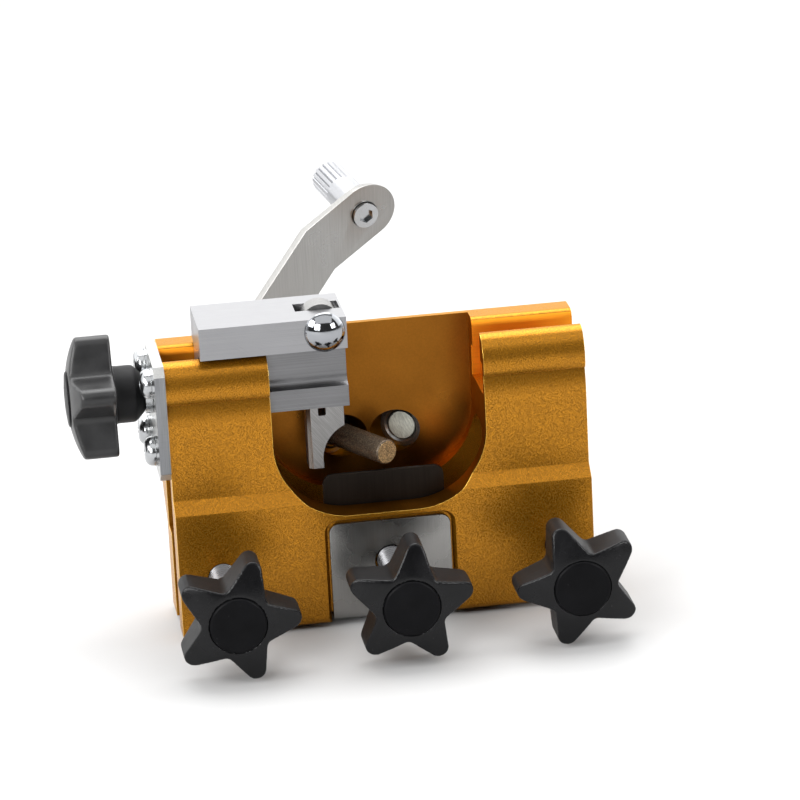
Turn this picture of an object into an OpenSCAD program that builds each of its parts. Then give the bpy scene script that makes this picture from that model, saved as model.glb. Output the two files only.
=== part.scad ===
// Clamp-on saw-chain sharpening jig with a hand-cranked burr.
// X runs along the guide bar, Y to the back, Z up. The origin is the middle of the
// bar slot's mouth: on the bar's mid-plane, level with the bottom edges of the walls.

/* [Body extrusion] */
// Length of the extruded body along the bar
body_l = 85; // [80:0.5:95]
// Height of the body from the wall edges to the lips
body_h = 57; // [55:0.5:62]
// Distance of the lower front face from the bar plane
front_y = 11.25; // [10.5:0.25:14]
// Step of the front face at its shoulder, also the shoulder's height
front_step = 2.5; // [1.5:0.1:3]
// Height of the shoulder's lower edge
shoulder_z = 26.2; // [24:0.1:30]
// Distance of the fine groove below the lips' top
groove_drop = 8.3; // [7.5:0.1:10]
// Height of that groove's upper side
groove_h = 0.3; // [0.2:0.05:0.6]
// Depth of the groove, down the slow curve below it
brow_d = 0.8; // [0.3:0.05:1]
// Height of that curve
brow_h = 5; // [3:0.5:6]
// How far the front lip stands proud of the upper front face
lip_proud = 0.35; // [0.1:0.05:0.8]
// Depth of the front lip's rounded crest
crest_d = 4.2; // [3.8:0.1:4.3]
// Height of that crest
crest_h = 6.2; // [5.4:0.1:6.4]
// Radius of the front wall's bottom edge
foot_r = 1.4; // [0.5:0.1:2.5]
// Thickness of the front wall beside the bar
front_wall = 6.25; // [5.5:0.25:7]
// Distance of the rear jaw face from the bar plane
jaw_y = 2; // [1.5:0.1:3]
// Thickness of the rear jaw
jaw_t = 8; // [7:0.5:10]
// Height of the bar slot up to the chain cavity
slot_h = 18; // [15:0.5:20]
// Depth of the chain cavity behind the bar plane
cavity_back = 6.85; // [6:0.05:8]
// Thickness of the lips over the T-slot
lip_t = 6; // [5.5:0.25:7]
// Radius of the roof's corners
roof_r = 4; // [2:0.5:5]
// Thickness of the web between the cavity and the T-slot
web_t = 7.5; // [6.5:0.25:9]
// Height of the T-slot
tee_h = 6.5; // [6:0.25:7.5]
// Width of the T-slot
tee_w = 13.6; // [12.5:0.1:14]
// Width of the gap between the lips
neck_gap = 9.4; // [9:0.1:10]
// Rear face at the top of the body
rear_top = 10.9; // [10.7:0.1:12]
// Radius of the rear lip's front edge
rear_lip_r = 1.8; // [0.5:0.1:2.5]
// Rear face of the rib that carries the guide bushes
rib_y = 18; // [16:0.5:20]
// Lower edge of the rib's flat
rib_low = 26; // [24:0.5:28]
// Upper edge of the rib's flat
rib_high = 41; // [39.5:0.5:42]

/* [Window] */
// Width of the milled window
window_w = 43.4; // [40:0.2:46]
// Height of the window's bottom edge
window_z = 23; // [22.8:0.1:24.5]
// Radius of the window's lower corners
window_r = 15; // [10:0.5:18]
// Distance of the pocket floor behind the bar plane
pocket_y = 9.5; // [9.3:0.1:10]

/* [Guide bushes and burr] */
// Angle of each guide bore to the bar's normal, in degrees
bore_angle = 30; // [28:0.5:35]
// Height of the bores
bore_z = 33; // [32.8:0.1:34]
// Outer diameter of a guide bush
bush_d = 9; // [8.4:0.1:9.2]
// Place of the bush's front end along its axis
bush_front = 14.3; // [13.5:0.1:16]
// Length of a bush
bush_l = 11.2; // [11:0.1:13]
// Diameter of the crank spindle and of the bore plug
spindle_d = 6; // [5:0.1:6.5]
// Diameter of the burr's grinding head
burr_d = 5.2; // [4:0.1:5.4]
// Reach of the burr's tip in front of the bar plane, along its axis
burr_reach = 4; // [3.5:0.1:8]
// Length of the burr's grinding head
burr_l = 18; // [16:0.5:20]
// Bevel of the burr's tip
burr_bevel = 0.3; // [0.1:0.1:0.6]
// Bevel of a bush's mouth
bush_bevel = 0.6; // [0.2:0.1:0.8]
// Diameter of the burr's shank
burr_shank_d = 3; // [2:0.1:3.2]
// Length of the burr's shank
burr_shank_l = 11; // [8:0.5:14]
// Diameter of the plug's head
plug_head_d = 9; // [8:0.1:11]
// Length of the plug's head
plug_head_l = 6; // [4:0.5:8]

/* [Crank] */
// Turn of the crank arm above the level, in degrees
crank_turn = 35.5; // [0:0.5:90]
// Place of the arm's front face along the spindle
arm_front = 52.7; // [50:0.1:56]
// Width of the arm
arm_w = 12.5; // [11:0.1:14]
// Thickness of the arm
arm_t = 2; // [1.5:0.1:2.5]
// Distance from the spindle to the first bend
arm_bend_1 = 12; // [10:0.5:16]
// Distance from the spindle to the second bend
arm_bend_2 = 39.3; // [36:0.1:42]
// Distance from the spindle to the handle
arm_reach = 51; // [49:0.1:56]
// Extra length of the arm's round end past the handle
arm_over = 0.8; // [0:0.1:1.5]
// Slant of the arm between its bends, in degrees
arm_slant = 10.5; // [5:0.5:15]
// Lean of the arm's end back towards the body, in degrees
arm_lean = 18; // [10:0.5:20]
// Diameter of the hub
hub_d = 12; // [10.5:0.5:14]
// Length of the hub
hub_l = 8.7; // [7:0.1:10]
// Thickness of the spindle washer
washer_t = 1.5; // [1:0.1:2]
// Diameter of the spindle washer
washer_d = 11; // [10:0.5:13]
// Diameter of the hub screw
hub_screw_d = 3.5; // [3:0.1:4]
// Diameter of the hub screw's head
hub_screw_head_d = 7; // [6:0.1:8]
// Height of that head
hub_head_h = 2.4; // [2:0.1:3]
// Depth of its hexagon socket
hub_socket = 1.4; // [1:0.1:1.8]
// Diameter of the hub's set screw
set_screw_d = 3; // [2.5:0.1:4]

/* [Crank handle] */
// Diameter over the knurl
handle_d = 7.6; // [7:0.1:9]
// Whole length of the handle
handle_l = 18.5; // [17.5:0.5:24]
// Length of the knurl
knurl_l = 9; // [8:0.5:11]
// Number of ribs in the knurl
knurl_ribs = 20; // [16:1:26]
// Depth of the knurl
knurl_d = 0.35; // [0.2:0.05:0.5]
// Step from the knurl up to the collar
handle_step = 0.05; // [0.05:0.05:0.2]
// Length of the tapered neck beside the arm
handle_neck_l = 2.6; // [1.5:0.1:4]
// Diameter of that neck at the arm
handle_neck_d = 5.6; // [5.2:0.1:6.6]
// Bevel of the handle's end
handle_bevel = 0.6; // [0.3:0.1:1]
// Stuff left at the handle's end behind the screw's hole
handle_floor = 4; // [3:0.5:6]
// Diameter of the handle screw
handle_screw_d = 3.6; // [3:0.1:4]
// Diameter of the handle screw's head
handle_head_d = 5.6; // [5:0.1:6.2]
// Height of that head
handle_head_h = 1.6; // [1.3:0.1:2]
// Depth that the head is sunk in the arm
handle_sink = 0.8; // [0.5:0.1:1]
// Width of its hexagon socket over the corners
handle_hex = 3.4; // [2.5:0.1:3.6]
// Depth of that socket
handle_socket = 1; // [0.6:0.1:1.2]

/* [Feed carriage] */
// Gap between the body's left end and the carriage
carriage_start = 7.3; // [7:0.1:9]
// Length of the carriage block
carriage_l = 29.7; // [28.5:0.1:30]
// Thickness of the top flange
flange_t = 6.6; // [6.2:0.1:8]
// Depth of the flange in front of the bar plane
flange_front = 8.8; // [8:0.1:9.5]
// Depth of the flange behind the bar plane
flange_back = 7.7; // [7:0.1:9]
// Gap between the flange and the lips
flange_gap = 0.7; // [0.4:0.1:1.2]
// Height of the foot's straight sides
foot_side = 4.4; // [4:0.1:4.8]
// Width of the slot for the pawl
pawl_slot = 5; // [4.6:0.1:5.2]
// Room in that slot behind the pawl's heel
heel_room = 1.1; // [0.3:0.1:1.5]
// Thickness of the bridge that closes the slot above the pivot
bridge_t = 0.5; // [0.4:0.05:0.55]
// Height of the bridge's lower edge above the pivot
bridge_rise = 1.6; // [1.4:0.1:1.8]
// Thickness of the pawl
pawl_t = 4.6; // [4:0.1:4.7]
// Distance of the pawl's pivot from the carriage's right end
pivot_inset = 4.47; // [4.4:0.01:4.6]
// Distance of the pivot below the flange's top
pivot_drop = 2.85; // [2.75:0.05:3]
// Diameter of the pivot bolt's shank
pivot_d = 4; // [3:0.1:4.2]
// Diameter of the pivot bolt's head
pivot_head_d = 8.4; // [7.4:0.1:8.6]
// Height of the domed head
pivot_head_h = 2.2; // [1.6:0.1:3]
// Wall left behind the pivot's hole
pivot_blind = 1.5; // [1:0.1:2]
// Radius of the pawl's knuckle
knuckle_r = 3.9; // [3.6:0.05:3.95]
// Width of the pawl's shank on the heel side of the pivot
pawl_heel = 3.9; // [3.7:0.1:4.1]
// Width of the pawl's shank on the burr side of the pivot
pawl_toe = 3.75; // [3.5:0.05:3.9]
// Height of the pawl's tip
pawl_tip_z = 30.4; // [29.8:0.1:31.5]
// Width of the pawl's tip
pawl_tip_w = 3; // [2:0.1:3.4]
// Bevel along the pawl's heel
pawl_bevel = 0.8; // [0.3:0.1:1]
// Width of the small eye in the pawl
eye_w = 1.5; // [1:0.1:2]
// Distance of the eye below the carriage
eye_drop = 1.5; // [1.3:0.1:3]
// Radius of the relief around the burr
relief_r = 7.5; // [6.5:0.1:8]

/* [Feed screw and end plate] */
// Height of the feed screw above the T-slot's floor
feed_rise = 5; // [4.6:0.1:5.4]
// Diameter of the feed screw
feed_d = 6; // [5:0.1:6.2]
// Length of feed screw inside the body
feed_in = 18.5; // [17:0.5:19]
// Thickness of the end plate
plate_t = 2.2; // [1.5:0.1:3]
// Front edge of the end plate
plate_front = 9.4; // [9.2:0.1:10]
// Rear edge of the end plate
plate_back = 10.4; // [10:0.1:12]
// Height of the end plate
plate_h = 24; // [22.5:0.5:26]
// Cut-off of the plate's corners
plate_corner = 1.8; // [1:0.1:3]
// Distance of the plate's screws from the bar plane
plate_screw_y = 6.7; // [6.6:0.1:7]
// Distance of the upper screws below the lips' top
plate_screw_top = 3.6; // [3.4:0.1:3.7]
// Distance between the upper and the lower screws
plate_screw_pitch = 14.2; // [13:0.1:14.5]
// Diameter of the plate's screws
plate_screw_d = 3; // [2.5:0.1:3.2]
// Length of the plate's screws below the head
plate_screw_l = 9; // [7:0.5:12]
// Diameter of a pan head
pan_d = 6; // [5.4:0.1:6]
// Height of a pan head
pan_h = 2.2; // [1.7:0.1:2.3]
// Diameter of a screw's washer
flat_washer_d = 6.2; // [6:0.1:6.2]
// Thickness of a screw's washer
flat_washer_t = 0.5; // [0.4:0.1:0.8]
// Thickness of the washer behind the feed knob
feed_washer_t = 1.5; // [1.2:0.1:1.8]
// Diameter of the washer behind the feed knob
feed_washer_d = 8.6; // [8:0.1:8.6]
// Thickness of the ring that holds the feed screw
ring_t = 1.2; // [0.8:0.1:1.4]
// Diameter of that ring
ring_d = 9; // [8:0.1:9.6]

/* [Star knobs] */
// Radius over the lobes
knob_r = 12.9; // [11.5:0.1:14]
// Radius at the valleys
knob_valley = 7.3; // [6.8:0.1:8]
// Radius of a lobe's tip
lobe_r = 1.9; // [1.4:0.1:2.1]
// Radius of a valley
valley_r = 1.5; // [1:0.1:2.4]
// Thickness of the lobes
rim_t = 7; // [6:0.1:9]
// Rise of the crowned front
crown = 2.6; // [1.5:0.1:3.5]
// Radius of the centre cap
cap_r = 5.7; // [5:0.1:6]
// Thickness of the centre cap
cap_t = 1.6; // [1.2:0.1:2]
// Round of the centre cap's edge
cap_edge = 0.3; // [0.1:0.05:0.4]
// Stuff left between a knob's bore and its cap
knob_floor = 2; // [1.5:0.1:3]
// Diameter of the hub behind the lobes
knob_hub_d = 11.6; // [10:0.1:12.5]
// Length of that hub
knob_hub_l = 6.2; // [4:0.1:7]
// Bevel of the hub's back edge
knob_hub_bevel = 2.1; // [2:0.1:2.4]

/* [Clamp screws] */
// Spacing of the clamp screws
clamp_pitch = 34.5; // [31:0.1:35.5]
// Offset of the middle clamp screw from the body's centre
clamp_shift = 0.8; // [0:0.1:2]
// Height of the clamp screws
clamp_z = 12.4; // [11:0.1:14]
// Diameter of the clamp screws
clamp_d = 6; // [5:0.1:6.4]
// Distance from a knob's front to its pad
clamp_reach = 34.5; // [33.5:0.1:36]
// Place of the left pad's face before the bar plane
left_pad_y = 4.5; // [4:0.1:8]
// Place of the right pad's face before the bar plane
right_pad_y = 3; // [3:0.1:8]
// Turn of the left knob, in degrees
left_turn = 71; // [0:1:72]
// Turn of the middle knob, in degrees
middle_turn = 82.6; // [72:0.1:144]
// Turn of the right knob, in degrees
right_turn = 37.3; // [0:0.1:72]
// Turn of the feed knob, in degrees
feed_turn = 71; // [0:1:72]
// Diameter of a clamp pad
pad_d = 5; // [4:0.1:5.4]
// Thickness of a clamp pad
pad_t = 1.5; // [1:0.1:2]
// Diameter of the pad's spigot
spigot_d = 2.4; // [2:0.1:3]
// Length of the pad's spigot
spigot_l = 2; // [1.5:0.1:3]

/* [Spring clip] */
// Width of the clip
clip_w = 24.8; // [22:0.2:27]
// Thickness of the clip's sheet
clip_t = 1; // [0.8:0.05:1.2]
// Height of the outer leg
clip_outer_z = 21.2; // [20:0.1:21.6]
// Height of the inner leg
clip_inner_z = 29.6; // [28:0.1:30]
// Radius of the legs' corners
clip_corner = 2; // [1:0.1:3]
// Outer radius of the bends
clip_bend = 1.8; // [1.5:0.1:2.5]
// Depth of the recess for the outer leg
recess_d = 1.5; // [1.3:0.1:1.8]
// Bevel around the recess
recess_bevel = 0.7; // [0.4:0.1:1]
// Gap between the inner leg and the front wall
clip_gap = 0.6; // [0.55:0.05:0.8]

/* [Clearances] */
// Radial clearance of turning and threaded fits
run_c = 0.05; // [0.02:0.01:0.1]
// Radial clearance of fixed fits
fix_c = 0.02; // [0.01:0.01:0.05]
// Clearance of the carriage in the T-slot
slide_c = 0.3; // [0.2:0.05:0.4]
// Radial clearance of loose holes
loose_c = 0.3; // [0.2:0.05:0.5]
// Gap between a face and the piece that runs beside it
face_c = 0.1; // [0.05:0.05:0.2]

/* [Hidden] */
$fn = 64;
over = 1;
x_left = -body_l / 2;
x_right = body_l / 2;
upper_y = front_y - front_step;
lip_y = upper_y + lip_proud;
wall_in = front_y - front_wall;
lip_z = body_h - lip_t;
tee_z = lip_z - tee_h;
roof_z = tee_z - web_t;
groove_z = body_h - groove_drop;
bead_h = groove_drop - crest_h - groove_h;
bead_r = (bead_h * bead_h + lip_proud * lip_proud) / (2 * lip_proud);
brow_r = (brow_h * brow_h + brow_d * brow_d) / (2 * brow_d);
feed_z = tee_z + feed_rise;
jaw_back = jaw_y + jaw_t;

// Carriage and pawl
carriage_x0 = x_left + carriage_start;
carriage_x1 = carriage_x0 + carriage_l;
foot_z0 = tee_z + slide_c;
foot_z1 = lip_z - slide_c;
foot_w = tee_w - 2 * slide_c;
block_neck = neck_gap - 2 * slide_c;
flange_z0 = body_h + flange_gap;
flange_z1 = flange_z0 + flange_t;
pivot_x = carriage_x1 - pivot_inset;
pivot_z = flange_z1 - pivot_drop;
pawl_x0 = pivot_x - pawl_heel;
pawl_x1 = pivot_x + pawl_toe;
slot_x0 = pawl_x0 - heel_room;
relief_x = pawl_x0 + pawl_tip_w + relief_r;
relief_z = bore_z - 0.7;

// Feed screw
plate_x = x_left - plate_t;
plate_z = body_h - plate_h;
feed_knob_x = plate_x - feed_washer_t;
feed_end = x_left + feed_in;
knob_l = knob_hub_l + rim_t + crown;
knob_bore = knob_l - cap_t - knob_floor;
knob_ball = (knob_r * knob_r + crown * crown) / (2 * crown);

// Spindle line
burr_back = burr_l - burr_reach;
bush_back = bush_front + bush_l;
hub_front = arm_front - hub_l;
washer_front = hub_front - washer_t;
plug_front = bush_front + face_c;
plug_head = bush_back + face_c;
bend_2_q = arm_front + (arm_bend_2 - arm_bend_1) * tan(arm_slant);
handle_q = bend_2_q - (arm_reach - arm_bend_2) * tan(arm_lean);

// Clip
recess_y = -front_y + recess_d;
clip_y0 = recess_y - clip_t;
clip_y1 = -wall_in + clip_gap + clip_t;
clip_z0 = 0.2;
notch_z = clip_z0 + clip_bend + face_c;

// Clamps: name, place along the bar, place of the knob's front, turn
CLAMPS = [
    ["left", clamp_shift - clamp_pitch, left_pad_y + clamp_reach, left_turn],
    ["middle", clamp_shift, clip_t - clip_y1 + face_c + clamp_reach, middle_turn],
    ["right", clamp_shift + clamp_pitch, right_pad_y + clamp_reach, right_turn]
];

GOLD = [0.80, 0.55, 0.12];
ALLOY = [0.78, 0.78, 0.80];
STEEL = [0.66, 0.67, 0.69];
ZINC = [0.75, 0.77, 0.80];
BLACK = [0.10, 0.10, 0.11];
BRASS = [0.75, 0.60, 0.28];
GRIT = [0.45, 0.38, 0.30];

// Points of an oval about a centre, with its two half axes, from one angle to another
function oval(c, half, a0, a1, n = 8) =
    [for (i = [0:n]) let (a = a0 + (a1 - a0) * i / n) c + [half.x * cos(a), half.y * sin(a)]];

// Points of an arc about a centre, from one angle to another
function arc(c, r, a0, a1, n = 8) = oval(c, [r, r], a0, a1, n);

// Outline of a five-lobed star: round tips and hollow valleys joined by tangents
function star_points(lobes = 5) =
    let (half = 180 / lobes,
         tip = [knob_r - lobe_r, 0],
         hollow = (knob_valley + valley_r) * [cos(half), sin(half)],
         gap = hollow - tip,
         lean = atan2(gap.y, gap.x) - acos((lobe_r + valley_r) / norm(gap)),
         lobe = concat(arc(tip, lobe_r, -lean, lean, 6),
                       arc(hollow, valley_r, lean + 180, 2 * half - lean + 180, 6)))
    [for (k = [0:lobes - 1], p = lobe)
        let (a = 2 * half * k) [p.x * cos(a) - p.y * sin(a), p.x * sin(a) + p.y * cos(a)]];

// Prism along X of a shape drawn in Y and Z
module along_x(x0, x1) {
    translate([x0, 0, 0]) rotate([90, 0, 90]) linear_extrude(x1 - x0) children();
}

// Prism along Y of a shape drawn in X and Z
module along_y(y0, y1) {
    translate([0, y1, 0]) rotate([90, 0, 0]) linear_extrude(y1 - y0) children();
}

// Round bar along Y at a place in X and Z
module bar_y(x, z, d, y0, y1) {
    translate([x, y0, z]) rotate([-90, 0, 0]) cylinder(d = d, h = y1 - y0);
}

// Round bar along X at a place in Y and Z
module bar_x(y, z, d, x0, x1) {
    translate([x0, y, z]) rotate([0, 90, 0]) cylinder(d = d, h = x1 - x0);
}

// Frame whose Z axis runs back along a guide bore: 1 is the left bore, -1 the right
module bore_frame(side) {
    translate([0, 0, bore_z]) rotate([0, 0, side * bore_angle]) rotate([-90, 0, 0]) children();
}

// Crank frame: X out along the arm, Z back along the spindle
module crank_frame() {
    bore_frame(1) rotate([0, 0, -crank_turn]) children();
}

// Handle frame on the arm's leaning end: Z back along the handle
module handle_frame() {
    crank_frame() translate([arm_reach, 0, handle_q]) rotate([0, arm_lean, 0]) children();
}

// Frame on a clamp screw: Z forward along the screw, from the hub's back face
module clamp_frame(c) {
    translate([c[1], knob_l - c[2], clamp_z]) rotate([90, 0, 0]) children();
}

// Frame on the feed knob: Z to the left, from the hub's back face
module feed_frame() {
    translate([feed_knob_x, 0, feed_z]) rotate([0, -90, 0]) children();
}

// Sheet outline with round corners at the top
module round_top(w, z0, z1, r) {
    translate([-w / 2, z0]) square([w, z1 - z0 - r]);
    translate([r - w / 2, z1 - r - over]) square([w - 2 * r, r + over]);
    for (s = [-1, 1]) translate([s * (w / 2 - r), z1 - r]) circle(r);
}

// Section of the body in Y and Z
module body_section() {
    polygon(concat(
        [[-wall_in, 0]],
        arc([foot_r - front_y, foot_r], foot_r, 270, 180),
        [[-front_y, shoulder_z], [-upper_y, shoulder_z + front_step]],
        arc([brow_r - upper_y, groove_z - brow_h], brow_r, 180, 180 - asin(brow_h / brow_r), 6),
        arc([bead_r - lip_y, body_h - crest_h], bead_r, 180 + asin(bead_h / bead_r), 180, 4),
        oval([crest_d - lip_y, body_h - crest_h], [crest_d, crest_h], 180, 90),
        [[-neck_gap / 2, body_h], [-neck_gap / 2, lip_z],
         [-tee_w / 2, lip_z], [-tee_w / 2, tee_z],
         [tee_w / 2, tee_z], [tee_w / 2, lip_z],
         [neck_gap / 2, lip_z]],
        arc([neck_gap / 2 + rear_lip_r, body_h - rear_lip_r], rear_lip_r, 180, 90),
        [[rear_top, body_h], [rear_top, rib_high + rib_y - rear_top],
         [rib_y, rib_high], [rib_y, rib_low],
         [jaw_back, rib_low + jaw_back - rib_y], [jaw_back, 0],
         [jaw_y, 0], [jaw_y, slot_h], [cavity_back, slot_h]],
        arc([cavity_back - roof_r, roof_z - roof_r], roof_r, 0, 90),
        arc([roof_r - wall_in, roof_z - roof_r], roof_r, 90, 180)));
}

// U-shaped window, open at the top
module window_cut() {
    along_y(-front_y - over, pocket_y) {
        translate([-window_w / 2, window_z + window_r]) square([window_w, body_h]);
        translate([window_r - window_w / 2, window_z]) square([window_w - 2 * window_r, body_h]);
        for (s = [-1, 1])
            translate([s * (window_w / 2 - window_r), window_z + window_r]) circle(window_r, $fn = 96);
    }
}

// Bevelled recess for the clip's outer leg, with the notch under the wall
module recess_cut() {
    w = clip_w + 2 * loose_c;
    top = clip_outer_z + loose_c;
    r = clip_corner;
    b = recess_bevel;
    front = -front_y - over;
    wide = b * (recess_d + over) / recess_d;
    translate([clamp_shift, 0, 0]) {
        translate([0, 0, -over]) linear_extrude(top - r + over)
            polygon([[-w / 2 - wide, front], [w / 2 + wide, front], [w / 2, recess_y], [-w / 2, recess_y]]);
        along_x(r - w / 2, w / 2 - r)
            polygon([[front, 0], [front, top + wide], [recess_y, top], [recess_y, 0]]);
        for (s = [-1, 1]) translate([s * (w / 2 - r), front, top - r]) rotate([-90, 0, 0])
            cylinder(r1 = r + wide, r2 = r, h = recess_d + over);
        translate([-w / 2, front, -over])
            cube([w, clip_y1 - front, notch_z + over]);
    }
}

module body() {
    color(GOLD) difference() {
        along_x(x_left, x_right) body_section();
        window_cut();
        recess_cut();
        for (side = [-1, 1]) bore_frame(side)
            translate([0, 0, bush_d / 2]) cylinder(r = bush_d / 2 + fix_c, h = rib_y + bush_d);
        for (c = CLAMPS) bar_y(c[1], clamp_z, clamp_d + 2 * run_c, -front_y - over, over - wall_in);
        plate_screw_places() bar_x(0, 0, plate_screw_d + 2 * fix_c, x_left - over, x_left + plate_screw_l);
    }
}

// The four screw places of the end plate
module plate_screw_places() {
    for (y = [-plate_screw_y, plate_screw_y], z = [body_h - plate_screw_top - plate_screw_pitch, body_h - plate_screw_top])
        translate([0, y, z]) children();
}

module end_plate() {
    c = plate_corner;
    color(ZINC) difference() {
        along_x(plate_x, x_left) polygon([
            [-plate_front, plate_z + c], [-plate_front, body_h - c], [c - plate_front, body_h],
            [plate_back - c, body_h], [plate_back, body_h - c], [plate_back, plate_z + c],
            [plate_back - c, plate_z], [c - plate_front, plate_z]]);
        bar_x(0, feed_z, feed_d + 2 * run_c, plate_x - over, x_left + over);
        plate_screw_places() bar_x(0, 0, plate_screw_d + 2 * face_c, plate_x - over, x_left + over);
    }
}

module end_plate_washers() {
    color(ZINC) plate_screw_places() difference() {
        bar_x(0, 0, flat_washer_d, plate_x - flat_washer_t, plate_x);
        bar_x(0, 0, plate_screw_d + 2 * fix_c, plate_x - flat_washer_t - over, plate_x + over);
    }
}

// Pan-head screw along Z, its head seated at zero
module pan_screw() {
    rotate_extrude() polygon(concat(
        [[0, -plate_screw_l], [plate_screw_d / 2, -plate_screw_l], [plate_screw_d / 2, 0],
         [pan_d / 2, 0], [pan_d / 2, pan_h / 2]],
        arc([pan_d / 2 - pan_h / 2, pan_h / 2], pan_h / 2, 0, 90, 6),
        [[0, pan_h]]));
}

module end_plate_screws() {
    color(ZINC) plate_screw_places()
        translate([plate_x - flat_washer_t, 0, 0]) rotate([0, -90, 0]) pan_screw();
}

module guide_bush(side) {
    color(STEEL) bore_frame(side) translate([0, 0, bush_front]) difference() {
        cylinder(d = bush_d, h = bush_l);
        translate([0, 0, -over]) cylinder(r = spindle_d / 2 + run_c, h = bush_l + 2 * over);
        translate([0, 0, -over]) cylinder(r1 = spindle_d / 2 + bush_bevel + over, r2 = spindle_d / 2, h = bush_bevel + over);
    }
}

module guide_bush_left() { guide_bush(1); }
module guide_bush_right() { guide_bush(-1); }

// Bent sheet of the clip in Y and Z, as one ribbon of even thickness
module clip_section() {
    y0 = clip_y0;
    y1 = clip_y1;
    r = clip_bend;
    s = clip_bend - clip_t;
    polygon(concat(
        [[y0, clip_outer_z]],
        arc([y0 + r, clip_z0 + r], r, 180, 270),
        arc([y1 - r, clip_z0 + r], r, 270, 360),
        [[y1, clip_inner_z], [y1 - clip_t, clip_inner_z]],
        arc([y1 - r, clip_z0 + r], s, 360, 270),
        arc([y0 + r, clip_z0 + r], s, 270, 180),
        [[y0 + clip_t, clip_outer_z]]));
}

module spring_clip() {
    color(STEEL) translate([clamp_shift, 0, 0]) difference() {
        intersection() {
            along_x(-clip_w / 2, clip_w / 2) clip_section();
            union() {
                along_y(clip_y0 - over, clip_y0 + clip_t + over)
                    round_top(clip_w, -over, clip_outer_z, clip_corner);
                along_y(clip_y0 + clip_t + over, clip_y1 + over)
                    round_top(clip_w, -over, clip_inner_z, clip_corner);
            }
        }
        bar_y(0, clamp_z, clamp_d + 2 * loose_c, clip_y0 - over, clip_y0 + clip_t + over);
    }
}

// Star knob along Z: bevelled hub first, crowned front last
module star_knob(turn, bore) {
    hub = knob_hub_d / 2;
    color(BLACK) difference() {
        union() {
            cylinder(r1 = hub - knob_hub_bevel, r2 = hub, h = knob_hub_bevel);
            translate([0, 0, knob_hub_bevel]) cylinder(r = hub, h = knob_hub_l + over - knob_hub_bevel);
            intersection() {
                translate([0, 0, knob_hub_l]) rotate([0, 0, turn])
                    linear_extrude(rim_t + crown) polygon(star_points());
                translate([0, 0, knob_l - knob_ball]) sphere(knob_ball, $fn = 96);
            }
        }
        translate([0, 0, -over]) cylinder(r = bore / 2 + fix_c, h = knob_bore + over);
        translate([0, 0, knob_l - cap_t]) cylinder(r = cap_r + fix_c, h = cap_t + over);
    }
}

// Slightly domed cap that stands a little out of the knob's front
module knob_cap() {
    sag = knob_ball - sqrt(knob_ball * knob_ball - cap_r * cap_r);
    color(BLACK) rotate_extrude() polygon([
        [0, knob_l - cap_t], [cap_r, knob_l - cap_t], [cap_r, knob_l - sag],
        [cap_r - cap_edge, knob_l - sag + cap_edge], [cap_r / 2, knob_l + cap_edge / 3],
        [0, knob_l + cap_edge / 2]]);
}

module feed_knob() { feed_frame() star_knob(feed_turn, feed_d); }
module feed_knob_cap() { feed_frame() knob_cap(); }

module feed_screw() {
    color(ZINC) bar_x(0, feed_z, feed_d, feed_knob_x - knob_bore, feed_end);
}

module feed_washer() {
    color(ZINC) difference() {
        bar_x(0, feed_z, feed_washer_d, feed_knob_x, plate_x - face_c);
        bar_x(0, feed_z, feed_d + 2 * fix_c, feed_knob_x - over, plate_x + over);
    }
}

module feed_ring() {
    color(STEEL) difference() {
        bar_x(0, feed_z, ring_d, x_left + face_c, x_left + face_c + ring_t);
        bar_x(0, feed_z, feed_d + 2 * fix_c, x_left - over, x_left + ring_t + over);
    }
}

// Section of the carriage: flange, neck with hollow sides, foot
module carriage_section() {
    n = block_neck / 2;
    f = foot_w / 2;
    z = foot_z0 + foot_side;
    r = f - n;
    polygon(concat(
        [[-f, foot_z0], [f, foot_z0], [f, z]],
        arc([f, z + r], r, 270, 180, 6),
        [[n, flange_z0], [flange_back, flange_z0], [flange_back, flange_z1],
         [-flange_front, flange_z1], [-flange_front, flange_z0], [-n, flange_z0]],
        arc([-f, z + r], r, 0, -90, 6)));
}

module carriage_block() {
    s = pawl_slot / 2;
    color(ALLOY) difference() {
        along_x(carriage_x0, carriage_x1) carriage_section();
        translate([slot_x0, -s, foot_z0 - over])
            cube([carriage_x1 - slot_x0 + over, pawl_slot, pivot_z + bridge_rise - foot_z0 + over]);
        translate([slot_x0, -s, pivot_z])
            cube([carriage_x1 - bridge_t - slot_x0, pawl_slot, pivot_drop + over]);
        bar_x(0, feed_z, feed_d + 2 * run_c, carriage_x0 - over, slot_x0 + over);
        bar_y(pivot_x, pivot_z, pivot_d + 2 * fix_c, -flange_front - over, flange_back - pivot_blind);
    }
}

module pivot_bolt() {
    sag = pivot_head_h;
    ball = (pow(pivot_head_d / 2, 2) + sag * sag) / (2 * sag);
    edge = asin(pivot_head_d / 2 / ball);
    color(ZINC) translate([pivot_x, -flange_front, pivot_z]) rotate([90, 0, 0])
        rotate_extrude() polygon(concat(
            [[0, 2 * pivot_blind - flange_front - flange_back], [pivot_d / 2, 2 * pivot_blind - flange_front - flange_back],
             [pivot_d / 2, 0]],
            arc([0, sag - ball], ball, 90 - edge, 90, 10)));
}

// Pawl in X and Z: knuckle, shank and a tip hollowed to clear the burr
module pawl_outline() {
    difference() {
        union() {
            translate([pivot_x, pivot_z]) circle(knuckle_r);
            translate([pawl_x0, pawl_tip_z]) square([pawl_x1 - pawl_x0, pivot_z - pawl_tip_z]);
        }
        translate([relief_x, relief_z]) circle(relief_r, $fn = 96);
        translate([relief_x - relief_r + 0.05, 0]) square([relief_r, relief_z]);
        translate([pivot_x, pivot_z]) circle(d = pivot_d + 2 * run_c);
        translate([pivot_x - eye_w, foot_z0 - eye_drop - eye_w]) square([eye_w, eye_w]);
    }
}

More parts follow.
